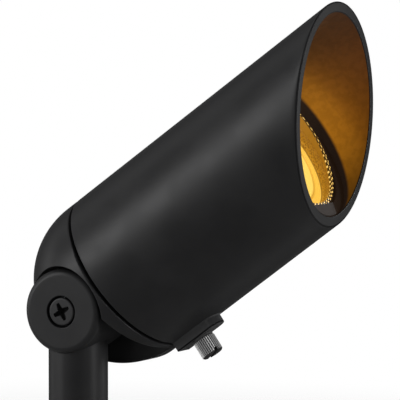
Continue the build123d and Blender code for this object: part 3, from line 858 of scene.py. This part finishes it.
def make_lens():
    """Pressed lens: clear faces, and a short skirt whose outside is pebbled.

    The pebbles are the sum of three waves at 60 degrees to each other, over the arc and the height.
    """
    columns = 600
    pebbles_round = 150
    pebble_depth = 0.06 * mm
    lowest_sum, highest_sum = -1.5, 3.0
    skirt_inner = pressed_radius - 0.4 * mm
    skirt_end = optic_front + 0.25 * mm
    front_round = 0.2 * mm
    corners = [(0.0, lens_front), (pressed_radius, lens_front), (pressed_radius, skirt_end),
               (skirt_inner, skirt_end), (skirt_inner, lens_back), (0.0, lens_back)]
    roundings = [0.0, front_round, fine_round, fine_round, fine_round, 0.0]
    runs = [3, 26, 1, 4, 3, 0]
    rows = rounded_section(corners, roundings, runs)
    points = turned(rows, columns)
    pitch = full_turn * pressed_radius / pebbles_round
    up = points[..., 2] / pitch
    across = pressed_radius * angles_round(columns) / pitch
    leans = (0.0, math.pi / 3, 2 * math.pi / 3)
    waves = [np.cos(full_turn * (across * math.cos(lean) + up * math.sin(lean))) for lean in leans]
    pebble = (sum(waves) - lowest_sum) / (highest_sum - lowest_sum)
    wall_start = corner_row(roundings, runs, 1) + corner_steps
    wall_end = corner_row(roundings, runs, 2)
    wall = rows_up_to(rows, wall_end) - rows_up_to(rows, wall_start)
    swell = 1 - pebble_depth * pebble * wall / pressed_radius
    points[..., :2] *= swell[..., None]
    overlap = 2
    finish = np.zeros(len(rows), int)
    finish[wall_start - overlap:corner_row(roundings, runs, 4) + corner_steps - overlap] = 1
    finishes = [lens_clear, lens_edge]
    lens = make_piece("lens_pressed", points, "shroud", finishes, finish, ("pebble", pebble))
    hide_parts("lens_glass")


def make_cut_rim():
    """Flange of the lens with a leaning crown of cut facets: three rows of cushions, each half a step on.

    At the angle a, a cushion is 2.2 - 2.2 |4 f - 2|, kept from 0 to 1, times sin(pi g) ^ 0.6, with f the
    part of n a / 2 pi after the whole number, shifted by a half from row to row, and g the share across
    the row. The first row is on the crown's inner wall and the others on its top, which lies at the height
    z = plane - lean r cos a, its outer side lower. Away from the underside the wall's row and the outer row
    fade out. The wall then runs down to the flange.
    """
    facets = 60
    facet_columns = 12
    row_steps = 11
    steepness = 2.2
    longest = 3.0
    shortening = 0.8
    roundness = 0.6
    wall_mark = 0.42
    rise = 0.14 * mm
    drop = 0.25 * mm
    fit = 0.04 * mm
    wall_depth = 1.1 * mm
    far_depth_share = 0.25
    deepest_share = 0.8
    near_reach = 0.5
    columns = facets * facet_columns
    angles = angles_round(columns)
    inner_radius = tooth_radius - tooth_band / 2
    across = np.linspace(0.0, 1.0, row_steps)[:, None]

    def cushions(shift, length=steepness):
        """One row of cushions, shifted by a part of a step."""
        part = (facets * angles / full_turn + shift) % 1.0
        height = np.clip(length - steepness * np.abs(4 * part - 2), 0.0, 1.0)
        return height * np.sin(math.pi * across) ** roundness

    def top_height(share):
        """Height of the crown's top at a share of its width."""
        radius = inner_radius + share * tooth_band
        return tooth_plane - tooth_lean * radius * np.cos(angles) - (share - 0.5) * drop

    near = np.clip(np.cos(angles) + near_reach, 0.0, 1.0)
    edge = top_height(0.0)
    depth_share = far_depth_share + (1 - far_depth_share) * near
    depth = np.minimum(wall_depth * depth_share, deepest_share * (edge - lens_front))
    wall = cushions(0.5) * near
    marks = [np.maximum(wall, wall_mark * (1 - across) ** 2)]
    radii = [inner_radius - rise * wall]
    heights = [edge - (1 - across) * depth]
    inner_row = cushions(0.0, longest - shortening * near)
    outer_row = cushions(0.5) * near
    for row, top in enumerate((inner_row, outer_row)):
        share = (row + across) / 2
        radii.append(np.broadcast_to(inner_radius + share * tooth_band, top.shape))
        heights.append(top_height(share) + rise * top)
        marks.append(top)
    flange = [
        (lens_opening - fit, lens_front, 0.0),
        (lens_radius - fit, lens_front, 0.0),
        (lens_radius - fit, lens_back, 0.0),
        (pressed_radius + fit, lens_back, 0.0),
        (pressed_radius + fit, lens_front, wall_mark),
    ]
    level = np.ones((1, columns))
    radius, height, facet = (
        np.concatenate(rows + [level * corner[part] for corner in flange])
        for part, rows in enumerate((radii, heights, marks))
    )
    points = turned(np.stack([radius, height], axis=2), columns)
    # The facet mark carries the painted glints.
    make_piece("lens_cut_rim", points, "shroud", [cut_rim], marks=("facet", facet), loop=True)


def make_ring_patch():
    """Flat patch on the lens ring at the mouth's lowest point, level with the mouth's plane, lighter grey
    than the ring.

    Its outline is a straight line across the ring, a leaning end and an arc of the ring's outside. The
    rows are this outline drawn in to the patch's middle on the top, at the edge, and on the foot, which
    is sunk in the ring.
    """
    steps = 32
    below_mouth = 0.12 * mm
    edge = 0.12 * mm
    sunk = 0.3 * mm
    outer = tube_inner - 0.4 * mm
    inner_line = lens_opening + 0.2 * mm
    end_inner = 0.8 * mm
    end_outer = 4.2 * mm
    start_angle = -math.acos(inner_line / outer)
    end_angle = math.asin(end_outer / outer)
    start_point = np.array([inner_line, outer * math.sin(start_angle)])
    end_point = np.array([inner_line, end_inner])
    corner = outer * np.array([math.cos(end_angle), math.sin(end_angle)])
    t = np.linspace(0.0, 1.0, steps, endpoint=False)[:, None]
    arc = end_angle + t * (start_angle - end_angle)
    inner_edge = start_point + t * (end_point - start_point)
    far_edge = end_point + t * (corner - end_point)
    across = np.concatenate([inner_edge, far_edge, outer * np.hstack([np.cos(arc), np.sin(arc)])])
    middle = across.mean(axis=0)

    def row(shrink, lower, on_foot):
        """The outline drawn in, on the top and a little lower, or on the foot."""
        flat = middle + shrink * (across - middle)
        top = mouth_reach - mouth_slope * flat[:, 0] - below_mouth - lower
        height = np.full(len(flat), ring_front - sunk) if on_foot else np.maximum(top, ring_front)
        return np.column_stack([flat, height])

    top_rows = [(0.0, 0.0), (0.5, 0.0), (0.97, 0.0), (0.99, 0.3 * edge), (1.0, edge)]
    rows = [row(shrink, lower, False) for shrink, lower in top_rows]
    rows += [row(shrink, 0.0, True) for shrink in (1.0, 0.0)]
    make_piece("ring_patch", np.stack(rows), "shroud", [ring_patch_grey])


def make_lamp_front():
    """Front of the lamp: a disc with three stepped rings near its rim and small lenses over its middle.

    The lenses are the product of two waves, which fade out towards the rings. Each ring is a saw tooth.
    """
    columns = 240
    lens_pitch = 3.4 * mm
    lens_depth = 0.25 * mm
    lens_fade = 2.0 * mm
    ring_start = 17.0 * mm
    ring_pitch = 2.2 * mm
    ring_depth = 0.3 * mm
    ring_fade = 0.3 * mm
    front_round, back_round = 0.25 * mm, 0.2 * mm
    corners = [(0.0, optic_front), (optic_radius, optic_front), (optic_radius, optic_back), (0.0, optic_back)]
    roundings = [0.0, front_round, back_round, 0.0]
    runs = [110, 3, 4, 0]
    rows = rounded_section(corners, roundings, runs)
    points = turned(rows, columns)
    radius = np.hypot(points[..., 0], points[..., 1])
    face = rows_up_to(rows, corner_row(roundings, runs, 1))
    waves = np.cos(full_turn * points[..., :2] / lens_pitch).prod(axis=2)
    middle = np.clip((ring_start - radius) / lens_fade, 0.0, 1.0)
    step = ((radius - ring_start) / ring_pitch) % 1.0
    ringed = np.clip((radius - ring_start) / ring_fade, 0.0, 1.0)
    points[..., 2] -= face * (lens_depth * middle * (1 - waves) / 2 + ring_depth * ringed * step)
    disc = make_piece("lamp_front", points, "head", [lamp_face])
    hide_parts("lamp_optic")


def make_knuckle_screw():
    """Knuckle screw with its cross recess sunk in the head.

    Each arm is a slot whose half width narrows from its middle to its tip, and whose depth does the same.
    """
    columns = 160
    turn = math.radians(-28.0)
    half_span = 3.25 * mm
    half_width = 1.1 * mm
    depth = 2.2 * mm
    edge = 0.14 * mm
    narrowing = 0.55
    recess_shade_depth = 0.4 * depth
    head_round, under_round, tip_round = 0.6 * mm, 0.2 * mm, 0.4 * mm
    head_top = screw_low[1]
    shank_end = screw_high[1]
    under = head_top + screw_head_height
    corners = [(0.0, head_top), (screw_head_radius, head_top), (screw_head_radius, under),
               (screw_shank_radius, under), (screw_shank_radius, shank_end), (0.0, shank_end)]
    roundings = [0.0, head_round, under_round, fine_round, tip_round, 0.0]
    runs = [48, 3, 2, 6, 2, 0]
    rows = rounded_section(corners, roundings, runs)
    points = turned(rows, columns)
    right = points[..., 1] * math.cos(turn) - points[..., 0] * math.sin(turn)
    up = points[..., 1] * math.sin(turn) + points[..., 0] * math.cos(turn)

    def arm(along, across):
        """Depth of one slot of the cross."""
        taper = 1 - narrowing * np.abs(along) / half_span
        wall = np.clip((half_width * taper - np.abs(across)) / edge + 0.5, 0.0, 1.0)
        end = np.clip((half_span - np.abs(along)) / edge, 0.0, 1.0)
        return wall * end * depth * taper

    face = rows_up_to(rows, corner_row(roundings, runs, 1))
    sunk = face * np.maximum(arm(right, up), arm(up, right))
    points[..., 2] += sunk
    # The cross recess gets painted shade, full from this depth down.
    recess = np.clip(sunk / recess_shade_depth, 0.0, 1.0)
    origin = np.array([hinge_point[0], 0.0, hinge_point[2]])
    screw = make_piece("knuckle_screw_cross", points, "head", [screw_black],
                       marks=("recess", recess), origin=origin, axes=hinge_axes)
    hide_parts("knuckle_screw")


def make_nipple():
    """Brass nipple with its pipe thread: the radius falls by a wave of height / pitch less angle / turn."""
    columns = 96
    depth = 1.05 * mm
    crest = 1.15
    run_out_length = 1.2 * thread_pitch
    foot_round, top_round, bore_round = 1.0 * mm, 0.4 * mm, 0.3 * mm
    low = nipple_low[2]
    high = nipple_high[2]
    seat = low + grommet_seat_length
    corners = [(thread_radius, low), (thread_radius, 0.0), (nipple_plug_radius, 0.0),
               (nipple_plug_radius, high), (nipple_bore, high), (nipple_bore, seat),
               (grommet_seat_radius, seat), (grommet_seat_radius, low)]
    roundings = [foot_round, fine_round, fine_round, top_round, bore_round, bore_round] + 2 * [fine_round]
    runs = [130, 2, 4, 2, 6, 2, 3, 2]
    rows = rounded_section(corners, roundings, runs)
    height = rows[..., 1]
    threaded = rows_up_to(rows, corner_row(roundings, runs, 1))
    phase = (height / thread_pitch - angles_round(columns) / full_turn) % 1.0
    wave = np.clip(crest - np.abs(4 * phase - 2) * crest, 0.0, 1.0)
    run_out = np.clip(-height / run_out_length, 0.0, 1.0)
    radius = rows[..., 0] - threaded * depth * wave * run_out
    points = turned(np.stack([radius, height * np.ones(columns)], axis=2), columns)
    nipple = make_piece("nipple_thread", points, "stem", [turned_brass],
                        loop=True, origin=stem_foot, axes=stem_axes)
    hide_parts("threaded_nipple")


make_shroud()
make_tongue()
make_lens()
make_cut_rim()
make_ring_patch()
make_lamp_front()
make_knuckle_screw()
make_nipple()

# Finishes of the solids that stay
solid_finishes = {
    cast_black: ["stem_post", "rear_housing"],
    ring_black: ["lens_ring"],
    rubber_black: ["cable_grommet", "lead_grommet", "housing_oring", "knuckle_gasket", "thumbscrew_washer"],
    silicone_grey: ["lens_gasket"],
    zinc_plate: ["knuckle_washer", "knuckle_nut", "socket_bracket", "bracket_screws"],
    knurled_nickel: ["thumbscrew"],
    nickel_plate: ["lamp_pins"],
    turned_brass: ["socket_contacts"],
    steatite: ["lamp_socket", "lamp_base"],
    lead_sleeve: ["lead_wires"],
    bright_reflector: ["lamp_reflector"],
    board_white: ["lamp_led_board"],
}
for finish, names in solid_finishes.items():
    for node in names:
        frame["nodes"][node].material_slots[0].material = finish


# Stage: floor, world, lamps and camera
view_azimuth = math.radians(27.96)
view_elevation = math.radians(4.85)
view_distance = 1656.9 * mm
view_clip = 50.0
aim_right = 24.53 * mm
aim_up = 25.41 * mm
photo_side = 400.0
focal_pixels = 4600.0
sensor_side = 36.0
floor_reach = 9.0
floor_paint = (0.74, 0.74, 0.74, 1.0)
shadow_start, shadow_stop = 0.13, 0.32
world_fill = 0.26
softbox_distance = 1.1
view_right = np.array([math.cos(view_azimuth), math.sin(view_azimuth), 0.0])
view_back = np.array([
    math.sin(view_azimuth) * math.cos(view_elevation),
    -math.cos(view_azimuth) * math.cos(view_elevation),
    math.sin(view_elevation),
])
view_up = np.cross(view_back, view_right)


def facing(origin, back, right):
    """Matrix of an object at the origin that looks against the back direction, with X near the right one."""
    back = back / np.linalg.norm(back)
    up = np.cross(back, right)
    up = up / np.linalg.norm(up)
    columns = np.stack([np.cross(up, back), up, back, origin], axis=1)
    return Matrix(np.vstack([columns, [0.0, 0.0, 0.0, 1.0]]).tolist())


def white_for_sight(tree):
    """1 for rays from the camera, from gloss and through glass, 0 for the rest."""
    path = add(tree, "ShaderNodeLightPath").outputs
    seen = calc(tree, "ADD", path["Is Camera Ray"], path["Is Glossy Ray"])
    return calc(tree, "ADD", seen, path["Is Transmission Ray"], clamp=True)


def make_floor():
    """Plain pale floor under the foot, which turns to white for sight away from the object's shadow."""
    level = cad_box[0][2]
    signs = [(-1, -1), (1, -1), (1, 1), (-1, 1)]
    corners = [(x * floor_reach, y * floor_reach, level) for x, y in signs]
    mesh = bpy.data.meshes.new("floor")
    mesh.from_pydata(corners, [], [(0, 1, 2, 3)])
    material = bpy.data.materials.new("pale_floor")
    material.use_nodes = True
    tree = material.node_tree
    tree.nodes.clear()
    distance = add(tree, "ShaderNodeVectorMath", {0: object_place(tree)}, operation="LENGTH").outputs["Value"]
    away = spread(tree, distance, shadow_start, shadow_stop)
    paint = add(tree, "ShaderNodeBsdfDiffuse", {"Color": floor_paint}).outputs[0]
    white = add(tree, "ShaderNodeEmission", {"Strength": 1.0}).outputs[0]
    share = calc(tree, "MULTIPLY", away, white_for_sight(tree))
    mixed = add(tree, "ShaderNodeMixShader", {0: share, 1: paint, 2: white}).outputs[0]
    add(tree, "ShaderNodeOutputMaterial", {"Surface": mixed})
    mesh.materials.append(material)
    floor = new_object("floor", mesh)


def make_world():
    """White for sight, and a plain grey fill for the rest."""
    world = bpy.data.worlds.new("studio")
    bpy.context.scene.world = world
    world.use_nodes = True
    tree = world.node_tree
    tree.nodes.clear()
    strength = spread(tree, white_for_sight(tree), to_low=world_fill)
    background = add(tree, "ShaderNodeBackground", {"Strength": strength}).outputs[0]
    add(tree, "ShaderNodeOutputWorld", {"Surface": background})


def make_softbox(name, direction, width, height, power, distance=softbox_distance):
    """Rectangular lamp in a direction from the lamp head, facing it, with its height upright."""
    direction = np.array(direction) / np.linalg.norm(direction)
    light = bpy.data.lights.new(name, "AREA")
    light.shape = "RECTANGLE"
    light.size = width
    light.size_y = height
    light.energy = power
    box = new_object(name, light)
    level = np.cross([0.0, 0.0, 1.0], direction)
    box.matrix_world = facing(gap_centre + distance * direction, direction, level)


def make_camera():
    """Camera at the photograph's angle and distance, with its long lens."""
    camera_data = bpy.data.cameras.new("camera")
    camera_data.sensor_width = sensor_side
    camera_data.lens = focal_pixels * sensor_side / photo_side
    camera_data.clip_end = view_clip
    camera = new_object("camera", camera_data)
    origin = gap_centre + view_distance * view_back + aim_right * view_right + aim_up * view_up
    camera.matrix_world = facing(origin, view_back, view_right)
    bpy.context.scene.camera = camera


make_floor()
make_world()
make_softbox("left_softbox", direction=(-0.67, -0.715, 0.195), width=0.28, height=1.2, power=25.0)
make_softbox("front_softbox", direction=(-0.2, -0.98, 0.0), width=0.3, height=0.2, power=1.2)
make_softbox("low_left_softbox", direction=(-0.89, -0.44, -0.02), width=0.4, height=0.3, power=3.2)
make_softbox("back_left_softbox", direction=(-0.99, 0.12, 0.1), width=0.4, height=0.3, power=0.9)
make_softbox("front_right_softbox", direction=(0.842, -0.539, 0.1), width=0.2, height=0.3, power=1.6)
make_softbox("right_strip", direction=(0.998, 0.025, 0.1), width=0.08, height=0.3, power=11.0)
make_softbox("back_right_strip", direction=(0.644, 0.765, 0.1), width=0.08, height=0.3, power=3.9)
make_softbox("top_softbox", direction=(-0.1, -0.2, 1.0), width=0.9, height=0.9, power=7.5, distance=1.2)
make_camera()
bpy.context.scene.view_settings.view_transform = "Standard"
